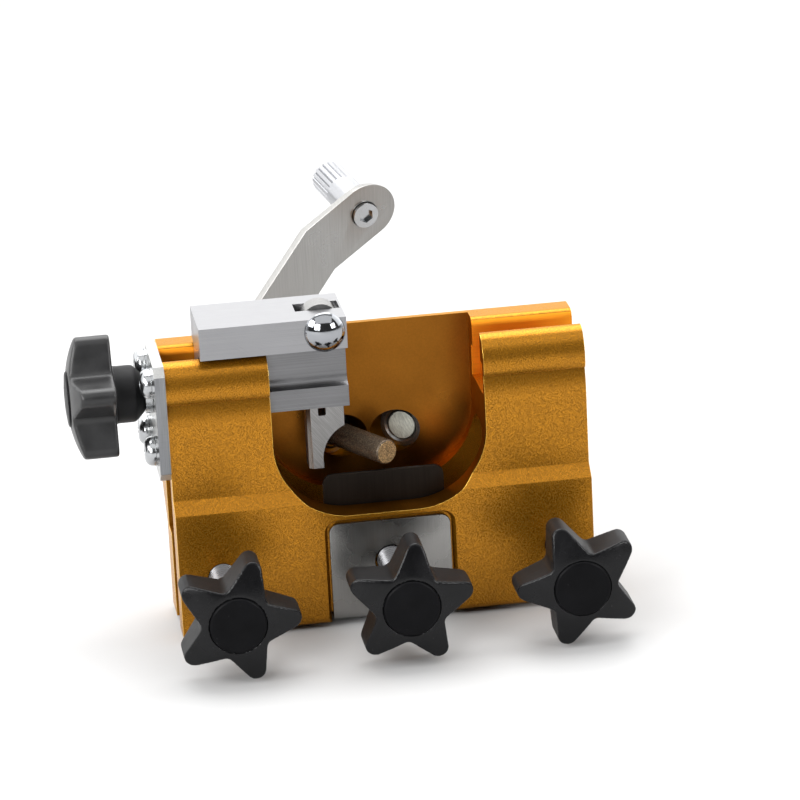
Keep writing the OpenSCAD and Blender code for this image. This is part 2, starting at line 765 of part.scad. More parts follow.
module pawl() {
    b = pawl_bevel;
    color(STEEL) difference() {
        along_y(-pawl_t / 2, pawl_t / 2) pawl_outline();
        translate([pawl_x0, -pawl_t / 2, pawl_tip_z - over]) linear_extrude(foot_z0 - pawl_tip_z + 2 * over)
            polygon([[-over, -over], [b, -over], [b, 0], [0, b], [-over, b]]);
    }
}

module spindle() {
    color(STEEL) bore_frame(1) difference() {
        translate([0, 0, burr_back]) cylinder(d = spindle_d, h = arm_front - burr_back);
        translate([0, 0, burr_back - over])
            cylinder(r = burr_shank_d / 2 + fix_c, h = burr_shank_l + over);
        translate([0, 0, hub_front]) cylinder(r = hub_screw_d / 2 + fix_c, h = hub_l + over);
    }
}

module burr_head() {
    color(GRIT) bore_frame(1) translate([0, 0, -burr_reach]) {
        cylinder(d1 = burr_d - 2 * burr_bevel, d2 = burr_d, h = burr_bevel);
        translate([0, 0, burr_bevel]) cylinder(d = burr_d, h = burr_l - burr_bevel);
    }
}

module burr_shank() {
    color(STEEL) bore_frame(1) translate([0, 0, burr_back])
        cylinder(d = burr_shank_d, h = burr_shank_l - 2 * face_c);
}

module spindle_washer() {
    color(BLACK) bore_frame(1) translate([0, 0, washer_front]) difference() {
        cylinder(d = washer_d, h = washer_t);
        translate([0, 0, -over]) cylinder(r = spindle_d / 2 + run_c, h = washer_t + 2 * over);
    }
}

module crank_hub() {
    color(STEEL) crank_frame() translate([0, 0, hub_front]) difference() {
        cylinder(d = hub_d, h = hub_l);
        translate([0, 0, -over]) cylinder(r = spindle_d / 2 + fix_c, h = hub_l + 2 * over);
        translate([0, 0, hub_l / 2]) rotate([90, 0, 0]) cylinder(r = set_screw_d / 2 + fix_c, h = hub_d);
    }
}

module hub_set_screw() {
    seat = spindle_d / 2 + 2 * fix_c;
    color(BLACK) crank_frame() translate([0, -seat, hub_front + hub_l / 2]) rotate([90, 0, 0]) difference() {
        cylinder(d = set_screw_d, h = hub_d / 2 - seat - 3 * face_c);
        translate([0, 0, set_screw_d / 4]) cylinder(d = set_screw_d / 2, h = hub_d, $fn = 6);
    }
}

// Side view of the bent arm: X out, Y back
module arm_section() {
    tip = arm_reach + arm_w;
    end_q = bend_2_q - (tip - arm_bend_2) * tan(arm_lean);
    front = [[-arm_w, arm_front], [arm_bend_1, arm_front], [arm_bend_2, bend_2_q], [tip, end_q]];
    back = [for (i = [3:-1:0]) front[i] + [0, arm_t]];
    polygon(concat(front, back));
}

module crank_arm() {
    color(STEEL) difference() {
        crank_frame() intersection() {
            rotate([90, 0, 0]) linear_extrude(arm_w, center = true) arm_section();
            translate([0, 0, arm_front - arm_w]) linear_extrude(3 * arm_w) {
                translate([0, -arm_w / 2]) square([arm_reach + arm_over, arm_w]);
                for (x = [0, arm_reach + arm_over]) translate([x, 0]) circle(d = arm_w);
            }
        }
        crank_frame() translate([0, 0, arm_front - over])
            cylinder(r = hub_screw_d / 2 + fix_c, h = arm_t + 2 * over);
        handle_frame() translate([0, 0, -arm_t]) cylinder(r = handle_screw_d / 2 + run_c, h = 3 * arm_t);
        handle_frame() translate([0, 0, -over]) cylinder(r = handle_head_d / 2 + face_c, h = handle_sink + over);
    }
}

module hub_screw() {
    color(ZINC) bore_frame(1) difference() {
        union() {
            translate([0, 0, hub_front + 1]) cylinder(d = hub_screw_d, h = hub_l + arm_t - 1);
            translate([0, 0, arm_front + arm_t]) cylinder(d = hub_screw_head_d, h = hub_head_h);
        }
        translate([0, 0, arm_front + arm_t + hub_head_h - hub_socket])
            cylinder(d = hub_screw_d, h = hub_socket + over, $fn = 6);
    }
}

// Knurl outline: even ribs with flat crests and narrow valleys
module knurl_outline() {
    step = 360 / knurl_ribs;
    r = handle_d / 2;
    polygon([for (i = [0:knurl_ribs - 1], p = [[r, -0.3], [r, 0.3], [r - knurl_d, 0.5]])
        let (a = (i + p.y) * step) p.x * [cos(a), sin(a)]]);
}

module crank_handle() {
    seat = arm_t + face_c;
    collar_d = handle_d + 2 * handle_step;
    end_d = handle_d - 2 * knurl_d - 2 * handle_step;
    color(ALLOY) handle_frame() translate([0, 0, seat]) difference() {
        union() {
            cylinder(d1 = handle_neck_d, d2 = collar_d, h = handle_neck_l);
            translate([0, 0, handle_neck_l])
                cylinder(d = collar_d, h = handle_l - handle_neck_l - knurl_l);
            translate([0, 0, handle_l - knurl_l - over])
                linear_extrude(knurl_l - handle_bevel + over) knurl_outline();
            translate([0, 0, handle_l - handle_bevel])
                cylinder(d1 = end_d, d2 = end_d - 2 * handle_bevel, h = handle_bevel);
        }
        translate([0, 0, -over]) cylinder(r = handle_screw_d / 2 + fix_c, h = handle_l - handle_floor + over);
    }
}

module handle_screw() {
    sink = handle_sink - face_c;
    color(ZINC) handle_frame() difference() {
        union() {
            translate([0, 0, sink - handle_head_h]) cylinder(d = handle_head_d, h = handle_head_h);
            cylinder(d = handle_screw_d, h = arm_t + handle_l - handle_floor - over);
        }
        translate([0, 0, sink - handle_head_h - over])
            cylinder(d = handle_hex, h = handle_socket + over, $fn = 6);
    }
}

module bore_plug() {
    color(STEEL) bore_frame(-1) {
        translate([0, 0, plug_front]) cylinder(d = spindle_d, h = plug_head - plug_front);
        translate([0, 0, plug_head]) cylinder(d = plug_head_d, h = plug_head_l);
    }
}

module clamp_knob(c) { clamp_frame(c) star_knob(c[3], clamp_d); }
module clamp_cap(c) { clamp_frame(c) knob_cap(); }

module clamp_screw(c) {
    tail = clamp_reach - knob_l - pad_t;
    color(ZINC) clamp_frame(c) translate([0, 0, -tail]) difference() {
        cylinder(d = clamp_d, h = tail + knob_bore);
        translate([0, 0, -over]) cylinder(r = spigot_d / 2 + run_c, h = spigot_l + face_c + over);
    }
}

module clamp_pad(c) {
    face = clamp_reach - knob_l;
    color(BRASS) clamp_frame(c) translate([0, 0, -face]) {
        cylinder(d = pad_d, h = pad_t);
        cylinder(d = spigot_d, h = pad_t + spigot_l);
    }
}

module left_clamp_knob() { clamp_knob(CLAMPS[0]); }
module left_clamp_cap() { clamp_cap(CLAMPS[0]); }
module left_clamp_screw() { clamp_screw(CLAMPS[0]); }
module left_clamp_pad() { clamp_pad(CLAMPS[0]); }
module middle_clamp_knob() { clamp_knob(CLAMPS[1]); }
module middle_clamp_cap() { clamp_cap(CLAMPS[1]); }
module middle_clamp_screw() { clamp_screw(CLAMPS[1]); }
module middle_clamp_pad() { clamp_pad(CLAMPS[1]); }
module right_clamp_knob() { clamp_knob(CLAMPS[2]); }
module right_clamp_cap() { clamp_cap(CLAMPS[2]); }
module right_clamp_screw() { clamp_screw(CLAMPS[2]); }
module right_clamp_pad() { clamp_pad(CLAMPS[2]); }

body();
end_plate();
end_plate_screws();
end_plate_washers();
guide_bush_left();
guide_bush_right();
spring_clip();
feed_knob();
feed_knob_cap();
feed_screw();
feed_washer();
feed_ring();
carriage_block();
pivot_bolt();
pawl();
spindle_washer();
spindle();
burr_head();
burr_shank();
crank_hub();
hub_set_screw();
crank_arm();
hub_screw();
crank_handle();
handle_screw();
bore_plug();
left_clamp_knob();
left_clamp_cap();
left_clamp_screw();
left_clamp_pad();
middle_clamp_knob();
middle_clamp_cap();
middle_clamp_screw();
middle_clamp_pad();
right_clamp_knob();
right_clamp_cap();
right_clamp_screw();
right_clamp_pad();
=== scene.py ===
"""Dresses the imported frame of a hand-cranked sharpening jig for its studio picture."""

import logging
import math
from dataclasses import dataclass, field
from enum import Enum
from typing import Callable, Optional, Sequence

import bpy
from mathutils import Matrix, Vector


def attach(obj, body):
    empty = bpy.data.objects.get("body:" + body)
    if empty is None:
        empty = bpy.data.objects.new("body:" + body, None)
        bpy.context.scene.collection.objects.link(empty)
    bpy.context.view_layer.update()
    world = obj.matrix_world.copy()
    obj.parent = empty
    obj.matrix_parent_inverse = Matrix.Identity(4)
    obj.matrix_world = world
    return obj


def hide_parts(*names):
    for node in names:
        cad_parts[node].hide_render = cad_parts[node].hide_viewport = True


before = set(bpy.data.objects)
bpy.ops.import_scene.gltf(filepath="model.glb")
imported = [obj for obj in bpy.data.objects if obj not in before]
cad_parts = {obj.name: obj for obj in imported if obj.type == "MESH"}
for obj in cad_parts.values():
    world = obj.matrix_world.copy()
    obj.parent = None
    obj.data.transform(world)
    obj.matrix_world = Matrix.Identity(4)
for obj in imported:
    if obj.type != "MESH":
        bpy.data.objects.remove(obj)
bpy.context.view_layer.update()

logging.basicConfig(level=logging.INFO, format="%(name)s: %(message)s")
LOG = logging.getLogger("jig")

MM = 0.001
WELD = 1e-6  # corners closer than this, in metres, become one
Rgb = tuple[float, float, float]
Xyz = tuple[float, float, float]
Piece = bpy.types.Object
Socket = bpy.types.NodeSocket
EdgeTest = Callable[[Vector, Vector], bool]
FaceTest = Callable[[list[Vector], Vector], bool]


# ---------------------------------------------------------------- finishes


def set_sockets(node: bpy.types.Node, values: dict[str, object]) -> None:
    """Sets a node's inputs to constants."""
    for key, value in values.items():
        node.inputs[key].default_value = value


class ShaderTree:
    """A material's nodes, with short ways to add and join them."""

    def __init__(self, name: str) -> None:
        """Starts a material with a principled surface that reads Object coordinates.

        Args:
            name: the material's name.
        """
        self.material = bpy.data.materials.new(name)
        self.material.use_nodes = True
        self.tree = self.material.node_tree
        self.surface = self.tree.nodes["Principled BSDF"]
        self.place = self.node("ShaderNodeTexCoord").outputs["Object"]

    def node(self, kind: str, **values: object) -> bpy.types.Node:
        """Adds a node.

        Args:
            kind: the node's type name.
            values: settings of the node.

        Returns:
            The new node.
        """
        made = self.tree.nodes.new(kind)
        for key, value in values.items():
            setattr(made, key, value)
        return made

    def join(self, source: Socket, target: Socket) -> None:
        """Links an output to an input."""
        self.tree.links.new(source, target)

    def drawn_out(self, lengths: Xyz, turn: Xyz = (0.0, 0.0, 0.0)) -> Socket:
        """Turns the coordinates and draws the pattern out along each axis.

        Args:
            lengths: size of one unit of the pattern along each turned axis, in metres.
            turn: the pattern's turn about X, Y and Z, in degrees.

        Returns:
            The vector output.
        """
        mapping = self.node("ShaderNodeMapping", vector_type="TEXTURE")
        set_sockets(mapping, {"Rotation": [math.radians(a) for a in turn], "Scale": lengths})
        self.join(self.place, mapping.inputs["Vector"])
        return mapping.outputs["Vector"]

    def noise(self, vector: Socket, detail: float = 2.0, rough: float = 0.55) -> Socket:
        """Adds a noise of unit scale.

        Args:
            vector: the coordinates that it reads.
            detail: its number of finer layers.
            rough: the strength of these.

        Returns:
            The noise's value.
        """
        made = self.node("ShaderNodeTexNoise")
        set_sockets(made, {"Scale": 1.0, "Detail": detail, "Roughness": rough})
        self.join(vector, made.inputs["Vector"])
        return made.outputs["Fac"]

    def speckle(self, size: float, detail: float = 2.0, rough: float = 0.55) -> Socket:
        """Adds a noise that is alike in all directions, of a size in metres."""
        return self.noise(self.drawn_out((size,) * 3), detail, rough)

    def cells(self, size: float) -> bpy.types.Node:
        """Adds a cell pattern.

        Args:
            size: the size of a cell, in metres.

        Returns:
            The pattern's node.
        """
        vector = self.drawn_out((size,) * 3)
        made = self.node("ShaderNodeTexVoronoi")
        set_sockets(made, {"Scale": 1.0})
        self.join(vector, made.inputs["Vector"])
        return made

    def ramp(self, factor: Socket, stops: Sequence[tuple[float, Rgb]]) -> Socket:
        """Maps a value to colours.

        Args:
            factor: the value.
            stops: places from 0 to 1 with their colours.

        Returns:
            The colour output.
        """
        made = self.node("ShaderNodeValToRGB")
        points = made.color_ramp.elements
        while len(points) < len(stops):
            points.new(0.5)
        for point, (where, color) in zip(points, stops):
            point.position = where
            point.color = (*color, 1.0)
        self.join(factor, made.inputs["Fac"])
        return made.outputs["Color"]

    def span(self, factor: Socket, low: float, high: float,
             start: float = 0.3, end: float = 0.7) -> Socket:
        """Maps a value to a range.

        Args:
            factor: the value.
            low: the result at start.
            high: the result at end.
            start: the value where the range begins.
            end: the value where it ends.

        Returns:
            The mapped value.
        """
        made = self.node("ShaderNodeMapRange")
        set_sockets(made, {"From Min": start, "From Max": end, "To Min": low, "To Max": high})
        self.join(factor, made.inputs["Value"])
        return made.outputs["Result"]

    def blend(self, kind: str, amount: Socket, below: Socket, above: Socket) -> Socket:
        """Lays one colour over another by a mask.

        Args:
            kind: the way of mixing.
            amount: the mask.
            below: the lower colour.
            above: the upper colour.

        Returns:
            The mixed colour.
        """
        made = self.node("ShaderNodeMix", data_type="RGBA", blend_type=kind)
        for source, slot in ((amount, 0), (below, 6), (above, 7)):
            self.join(source, made.inputs[slot])
        return made.outputs[2]

    def relief(self, height: Socket, strength: float, depth: float,
               under: Optional[Socket] = None) -> Socket:
        """Adds a bump of a height pattern.

        Args:
            height: the pattern.
            strength: its strength from 0 to 1.
            depth: its depth in metres.
            under: the normal of a relief that lies under it.

        Returns:
            The normal output.
        """
        made = self.node("ShaderNodeBump")
        set_sockets(made, {"Strength": strength, "Distance": depth})
        self.join(height, made.inputs["Height"])
        if under is not None:
            self.join(under, made.inputs["Normal"])
        return made.outputs["Normal"]

    def wear(self, color: Socket, roughness: Optional[Socket] = None,
             normal: Optional[Socket] = None) -> None:
        """Joins patterns to the surface.

        Args:
            color: the base colour.
            roughness: the roughness, where it varies.
            normal: the normal, where there is relief.
        """
        for socket, key in ((color, "Base Color"), (roughness, "Roughness"), (normal, "Normal")):
            if socket is not None:
                self.join(socket, self.surface.inputs[key])


def shade(color: Rgb, by: float) -> Rgb:
    """Returns a colour made lighter or darker by a factor."""
    return tuple(min(1.0, c * by) for c in color)


@dataclass(frozen=True)
class Finish:
    """A surface finish with its colour and gloss."""

    name: str
    slot: str
    color: Rgb
    roughness: float
    metallic: float = 1.0
    rim: Rgb = (1.0, 1.0, 1.0)

    def material(self) -> bpy.types.Material:
        """Finds the finish's material, or makes it at its first use.

        Returns:
            The material.
        """
        found = bpy.data.materials.get(self.name)
        if found is not None:
            return found
        shader = ShaderTree(self.name)
        set_sockets(shader.surface, {"Metallic": self.metallic, "Specular Tint": (*self.rim, 1.0)})
        self.lay(shader)
        shader.material.diffuse_color = (*self.color, 1.0)
        return shader.material

    def tones(self, *stops: tuple[float, float]) -> list[tuple[float, Rgb]]:
        """Returns a ramp's stops in this colour, from places and factors."""
        return [(place, shade(self.color, by)) for place, by in stops]

    def lay(self, shader: ShaderTree) -> None:
        """Lays the finish's pattern on a fresh material."""
        raise NotImplementedError


@dataclass(frozen=True)
class BlastedMetal(Finish):
    """Drawn metal, bead-blasted and anodised: a fine grain under a clear skin."""

    grain: float = 0.14 * MM
    depth: float = 0.034 * MM
    skin: float = 0.2
    skin_roughness: float = 0.3
    drawn: Xyz = (70 * MM, 1.3 * MM, 1.3 * MM)
    drawn_depth: float = 0.03 * MM
    cloud: float = 14 * MM
    cloud_tint: Rgb = (0.8, 0.77, 0.74)
    swing: float = 0.08

    def lay(self, shader: ShaderTree) -> None:
        """Lays the grain, faint drawn lines and a slow drift of tone.

        Args:
            shader: the fresh material.
        """
        speck = shader.speckle(self.grain, detail=2.0, rough=0.7)
        drawn = shader.noise(shader.drawn_out(self.drawn), detail=3.0)
        drift = shader.speckle(self.cloud, detail=3.0)
        tone = shader.ramp(speck, self.tones((0.36, 0.45), (0.5, 1.0), (0.64, 1.75)))
        tint = shader.ramp(drift, ((0.35, self.cloud_tint), (0.7, (1.0, 1.0, 1.0))))
        tone = shader.blend("MULTIPLY", shader.span(drift, 0.0, 0.5), tone, tint)
        rough = shader.span(speck, self.roughness + self.swing, self.roughness - self.swing)
        normal = shader.relief(drawn, 0.3, self.drawn_depth)
        normal = shader.relief(speck, 0.55, self.depth, normal)
        shader.wear(tone, rough, normal)
        set_sockets(shader.surface, {"Coat Weight": self.skin, "Coat Roughness": self.skin_roughness})


@dataclass(frozen=True)
class LinedMetal(Finish):
    """Metal with fine drawn, brushed or ground lines along one direction."""

    line: Xyz = (24 * MM, 0.16 * MM, 0.16 * MM)
    turn: Xyz = (0.0, 0.0, 0.0)
    contrast: float = 0.16
    depth: float = 0.012 * MM
    scratch: Xyz = (5 * MM, 0.09 * MM, 0.09 * MM)
    scratch_turn: Xyz = (0.0, 37.0, 0.0)
    scratches: float = 0.25
    cloud: float = 9 * MM

    def lay(self, shader: ShaderTree) -> None:
        """Lays lines, stray scratches and a slow drift of gloss.

        Args:
            shader: the fresh material.
        """
        lines = shader.noise(shader.drawn_out(self.line, self.turn), detail=4.0, rough=0.65)
        broad = shader.speckle(self.cloud, detail=2.0)
        stray = shader.noise(shader.drawn_out(self.scratch, self.scratch_turn), detail=1.0)
        tone = shader.ramp(lines, self.tones((0.3, 1.0 - self.contrast), (0.7, 1.0 + self.contrast)))
        marks = shader.span(stray, 0.0, self.scratches, 0.66, 0.74)
        tone = shader.blend("MIX", marks, tone, shader.ramp(lines, self.tones((0.2, 0.55), (0.8, 0.75))))
        rough = shader.span(broad, self.roughness - 0.05, self.roughness + 0.07)
        normal = shader.relief(lines, 0.35, self.depth)
        normal = shader.relief(stray, 0.2, self.depth, normal)
        shader.wear(tone, rough, normal)


@dataclass(frozen=True)
class PlatedMetal(Finish):
    """Smooth plated or polished metal with faint clouds in its gloss."""

    cloud: float = 1.6 * MM
    contrast: float = 0.08
    fine: float = 0.12 * MM
    depth: float = 0.004 * MM
    least_roughness: float = 0.03

    def lay(self, shader: ShaderTree) -> None:
        """Lays faint clouds and a trace of unevenness.

        Args:
            shader: the fresh material.
        """
        clouds = shader.speckle(self.cloud, detail=4.0)
        fine = shader.speckle(self.fine, detail=2.0)
        tone = shader.ramp(clouds, self.tones((0.3, 1.0 - self.contrast), (0.7, 1.0 + self.contrast)))
        glossy = max(self.least_roughness, self.roughness - 0.04)
        rough = shader.span(clouds, glossy, self.roughness + 0.06)
        shader.wear(tone, rough, shader.relief(fine, 0.25, self.depth))


@dataclass(frozen=True)
class MouldedPlastic(Finish):
    """Moulded plastic with a fine skin and a few specks of dust."""

    skin: float = 0.14 * MM
    depth: float = 0.014 * MM
    cloud: float = 5 * MM
    dust: Rgb = (0.07, 0.07, 0.072)
    dust_size: float = 0.42 * MM
    gloss: float = 0.3

    def lay(self, shader: ShaderTree) -> None:
        """Lays the skin, a drift of gloss and the dust.

        Args:
            shader: the fresh material.
        """
        skin = shader.speckle(self.skin, detail=2.0)
        drift = shader.speckle(self.cloud, detail=3.0)
        specks = shader.speckle(self.dust_size, detail=1.0)
        tone = shader.ramp(drift, self.tones((0.3, 0.8), (0.7, 1.3)))
        dust = shader.ramp(drift, ((0.2, shade(self.dust, 0.6)), (0.8, self.dust)))
        tone = shader.blend("MIX", shader.span(specks, 0.0, 0.6, 0.77, 0.82), tone, dust)
        rough = shader.span(drift, self.roughness - 0.05, self.roughness + 0.06)
        shader.wear(tone, rough, shader.relief(skin, 0.35, self.depth))
        set_sockets(shader.surface, {"Specular IOR Level": self.gloss})


@dataclass(frozen=True)
class GritCoat(Finish):
    """Abrasive grit bonded in a plated layer."""

    grain: float = 0.2 * MM
    depth: float = 0.05 * MM
    light: float = 2.1
    cloud: float = 2.4 * MM
    cloud_tints: tuple[Rgb, Rgb] = ((0.6, 0.55, 0.5), (1.0, 0.95, 0.85))

    def lay(self, shader: ShaderTree) -> None:
        """Lays grains of differing tone and gloss.

        Args:
            shader: the fresh material.
        """
        cells = shader.cells(self.grain)
        drift = shader.speckle(self.cloud, detail=2.0)
        each = cells.outputs["Color"]
        tone = shader.ramp(each, self.tones((0.15, 0.4), (0.55, 1.0), (0.9, self.light)))
        tint = shader.ramp(drift, tuple(zip((0.3, 0.7), self.cloud_tints)))
        tone = shader.blend("MULTIPLY", shader.span(drift, 0.1, 0.5), tone, tint)
        rough = shader.span(each, self.roughness + 0.1, self.roughness - 0.12, 0.1, 0.9)
        shader.wear(tone, rough, shader.relief(cells.outputs["Distance"], 0.7, self.depth))


class Look(Enum):
    """The finishes of the jig's pieces."""

    GOLD = BlastedMetal("gold_blasted", "gold_alloy", (0.35, 0.143, 0.006), 0.27, 0.8, (1.0, 0.75, 0.4))
    GOLD_MILLED = LinedMetal(
        "gold_milled", "gold_alloy", (0.245, 0.092, 0.011), 0.32, 1.0, (1.0, 0.7, 0.35),
        line=(0.35 * MM, 30 * MM, 0.35 * MM), contrast=0.1, scratches=0.0)
    # The drawn lines are the faces' own. The colour, far brighter than GOLD, is painted light on the faces
    # between the lips and in the T-slot.
    GOLD_DRAWN = LinedMetal(
        "gold_drawn_painted_light", "gold_alloy", (0.85, 0.30, 0.020), 0.45,
        line=(40 * MM, 0.5 * MM, 0.5 * MM), contrast=0.1, scratches=0.0)
    # Painted highlight: a much brighter gold for the broken edges, standing in for the light line along
    # them.
    GOLD_EDGE = LinedMetal(
        "gold_edge_painted_highlight", "gold_alloy", (1.0, 0.56, 0.11), 0.3, contrast=0.2, scratches=0.0)
    ALLOY = LinedMetal("alloy_drawn", "plain_alloy", (0.31, 0.31, 0.32), 0.34, contrast=0.07)
    # The denser scuff marks are real wear. The darker colour is painted shade under the carriage's flange.
    ALLOY_LOW = LinedMetal(
        "alloy_scuffed_painted_shade", "plain_alloy", (0.19, 0.19, 0.195), 0.36, contrast=0.14, scratches=0.5)
    HANDLE_ALLOY = LinedMetal(
        "alloy_turned", "plain_alloy", (0.40, 0.405, 0.42), 0.26,
        line=(0.2 * MM, 8 * MM, 0.2 * MM), contrast=0.08, scratches=0.1)
    GROUND = LinedMetal(
        "steel_ground", "ground_steel", (0.27, 0.265, 0.26), 0.33,
        line=(9 * MM, 0.12 * MM, 0.12 * MM), turn=(0.0, 52.0, 0.0), contrast=0.3, scratches=0.6)
    SAWN = LinedMetal(
        "rod_sawn", "ground_steel", (0.62, 0.63, 0.55), 0.5, 0.1,
        line=(5 * MM, 0.3 * MM, 0.3 * MM), turn=(0.0, 62.0, 0.0), contrast=0.3, scratches=0.3)
    PLATE = LinedMetal(
        "plate_zinc", "zinc_steel", (0.47, 0.47, 0.46), 0.30, line=(0.2 * MM, 0.2 * MM, 10 * MM),
        contrast=0.16, scratches=0.5, scratch_turn=(35.0, 0.0, 0.0))
    # Painted shade: a darker zinc for the end plate's front-facing edge only.
    PLATE_EDGE = LinedMetal(
        "plate_front_painted_shade", "zinc_steel", (0.24, 0.245, 0.255), 0.36, line=(0.2 * MM, 0.2 * MM, 10 * MM),
        contrast=0.2, scratches=0.5, scratch_turn=(35.0, 0.0, 0.0))
    ZINC = PlatedMetal("zinc_bright", "zinc_steel", (0.45, 0.46, 0.47), 0.2)
    THREAD = PlatedMetal("thread_zinc", "zinc_steel", (0.15, 0.15, 0.155), 0.27)
    CHROME = PlatedMetal("chrome_polished", "chrome_steel", (0.34, 0.35, 0.37), 0.08, contrast=0.03)
    SHEET = LinedMetal(
        "spring_sheet", "sheet_steel", (0.275, 0.27, 0.26), 0.26,
        line=(0.14 * MM, 12 * MM, 14 * MM), contrast=0.1, scratches=0.1)
    # Painted shade: a near-black copy of the spring sheet for the clip's inner leg, which lies in shade.
    SHEET_DARK = LinedMetal(
        "spring_sheet_inner_painted_shade", "sheet_steel", (0.022, 0.018, 0.015), 0.45,
        line=(0.14 * MM, 12 * MM, 14 * MM), contrast=0.15, scratches=0.1)
    ARM = LinedMetal(
        "arm_satin", "zinc_steel", (0.31, 0.305, 0.295), 0.32,
        line=(0.2 * MM, 10 * MM, 10 * MM), contrast=0.08, scratches=0.12)
    BLACK = MouldedPlastic(
        "knob_plastic", "black_plastic", (0.005, 0.005, 0.0055), 0.22, 0.0, gloss=0.2)
    BLACK_SIDE = MouldedPlastic(
        "knob_side_plastic", "black_plastic", (0.007, 0.007, 0.0075), 0.5, 0.0, gloss=0.15)
    BLACK_FEED = MouldedPlastic(
        "feed_plastic", "black_plastic", (0.010, 0.010, 0.0105), 0.36, 0.0, gloss=0.5)
    BLACK_CAP = MouldedPlastic(
        "cap_plastic", "black_plastic", (0.0035, 0.0035, 0.004), 0.36, 0.0, gloss=0.06)
    OXIDE = PlatedMetal("black_oxide", "black_steel", (0.028, 0.028, 0.03), 0.36, 0.6)
    GRIT = GritCoat("burr_grit", "grit", (0.10, 0.075, 0.052), 0.38, 0.6)
    GRIT_TIP = GritCoat("burr_tip_grit", "grit", (0.30, 0.205, 0.10), 0.38, 0.6)
    BRASS = PlatedMetal("brass_plain", "brass", (0.62, 0.42, 0.16), 0.28)

    @property
    def material(self) -> bpy.types.Material:
        """The material of this finish."""
        return self.value.material()


# ---------------------------------------------------------------- modelling


class Axis(Enum):
    """The direction that a turned piece, made along Z, is laid in."""

    X = Matrix.Rotation(math.radians(90), 4, "Y")
    X_BACK = Matrix.Rotation(math.radians(-90), 4, "Y")
    Y = Matrix.Rotation(math.radians(-90), 4, "X")


def only(obj: Piece) -> None:
    """Makes one object the only selected and active one.

    Args:
        obj: the object.
    """
    bpy.ops.object.select_all(action="DESELECT")
    obj.select_set(True)
    bpy.context.view_layer.objects.active = obj


def edit(select: str = "SELECT") -> None:
    """Enters edit mode.

    Args:
        select: SELECT for all corners selected, DESELECT for none.
    """
    bpy.ops.object.mode_set(mode="EDIT")
    bpy.ops.mesh.select_mode(type="VERT")
    bpy.ops.mesh.select_all(action=select)


def done() -> None:
    """Leaves edit mode."""
    bpy.ops.object.mode_set(mode="OBJECT")


def settle(obj: Piece) -> None:
    """Puts an object's place, turn and scale into its mesh."""
    only(obj)
    bpy.ops.object.transform_apply(location=True, rotation=True, scale=True)


def pick_faces(obj: Piece, test: Callable[[Vector, Vector], bool]) -> None:
    """Selects, from edit mode, only some faces.

    Args:
        obj: the object in edit mode.
        test: a test of a face's centre and normal.
    """
    bpy.ops.mesh.select_all(action="DESELECT")
    bpy.ops.mesh.select_mode(type="FACE")
    done()
    for face in obj.data.polygons:
        face.select = test(face.center, face.normal)
    bpy.ops.object.mode_set(mode="EDIT")


def pick_edges(obj: Piece, test: EdgeTest) -> None:
    """Selects, from edit mode, only some edges.

    Args:
        obj: the object in edit mode.
        test: a test of an edge's two ends.
    """
    bpy.ops.mesh.select_all(action="DESELECT")
    bpy.ops.mesh.select_mode(type="EDGE")
    done()
    corners = obj.data.vertices
    for edge in obj.data.edges:
        edge.select = test(*(corners[i].co for i in edge.vertices))
    bpy.ops.object.mode_set(mode="EDIT")


def weigh_sharp_edges(obj: Piece, sharp: float, where: EdgeTest) -> None:
    """Gives bevel weight to some of an object's sharp edges.

    Args:
        obj: the object.
        sharp: the angle from which an edge is sharp, in degrees.
        where: a test of an edge's two ends.
    """
    only(obj)
    edit("DESELECT")
    bpy.ops.mesh.select_mode(type="EDGE")
    bpy.ops.mesh.edges_select_sharp(sharpness=math.radians(sharp))
    done()
    corners = obj.data.vertices
    for edge in obj.data.edges:
        edge.select = edge.select and where(*(corners[i].co for i in edge.vertices))
    bpy.ops.object.mode_set(mode="EDIT")
    bpy.ops.transform.edge_bevelweight(value=1.0)
    done()


def refinish(obj: Piece, look: Look, test: FaceTest) -> None:
    """Gives a second finish to some faces of a piece.

    Args:
        obj: the piece.
        look: the second finish.
        test: a test of a face's corners and normal.
    """
    obj.data.materials.append(look.material)
    last = len(obj.data.materials) - 1
    corners = obj.data.vertices
    for face in obj.data.polygons:
        if test([corners[i].co for i in face.vertices], face.normal):
            face.material_index = last


def modify(obj: Piece, kind: str, **values: object) -> None:
    """Adds a modifier with its settings and applies it.

    Args:
        obj: the object.
        kind: the modifier's type.
        values: settings of the modifier.
    """
    only(obj)
    modifier = obj.modifiers.new(kind.title(), kind)
    for key, value in values.items():
        setattr(modifier, key, value)
    bpy.ops.object.modifier_apply(modifier=modifier.name)


def smooth(obj: Piece, angle: float) -> None:
    """Shades an object smooth, with broad faces kept flat.

    Args:
        obj: the object.
        angle: the angle up to which it is smooth, in degrees.
    """
    only(obj)
    bpy.ops.object.shade_smooth_by_angle(angle=math.radians(angle))
    modify(obj, "WEIGHTED_NORMAL", keep_sharp=True, weight=60)


def lay(obj: Piece, axis: Axis, place: Xyz, turn: float = 0.0) -> None:
    """Lays a piece made along Z in its direction and place, all in its mesh.

    Args:
        obj: the piece.
        axis: the direction that its Z takes.
        place: where its origin goes, in metres.
        turn: its turn about its own Z, in degrees.
    """
    spin = Matrix.Rotation(math.radians(turn), 4, "Z")
    obj.matrix_world = Matrix.Translation(place) @ axis.value @ spin
    settle(obj)


def copied(obj: Piece, name: str) -> Piece:
    """Copies a piece.

    Args:
        obj: the piece.
        name: the copy's name.

    Returns:
        The copy, with a mesh of its own.
    """
    made = bpy.data.objects.new(name, obj.data.copy())
    bpy.context.scene.collection.objects.link(made)
    return made


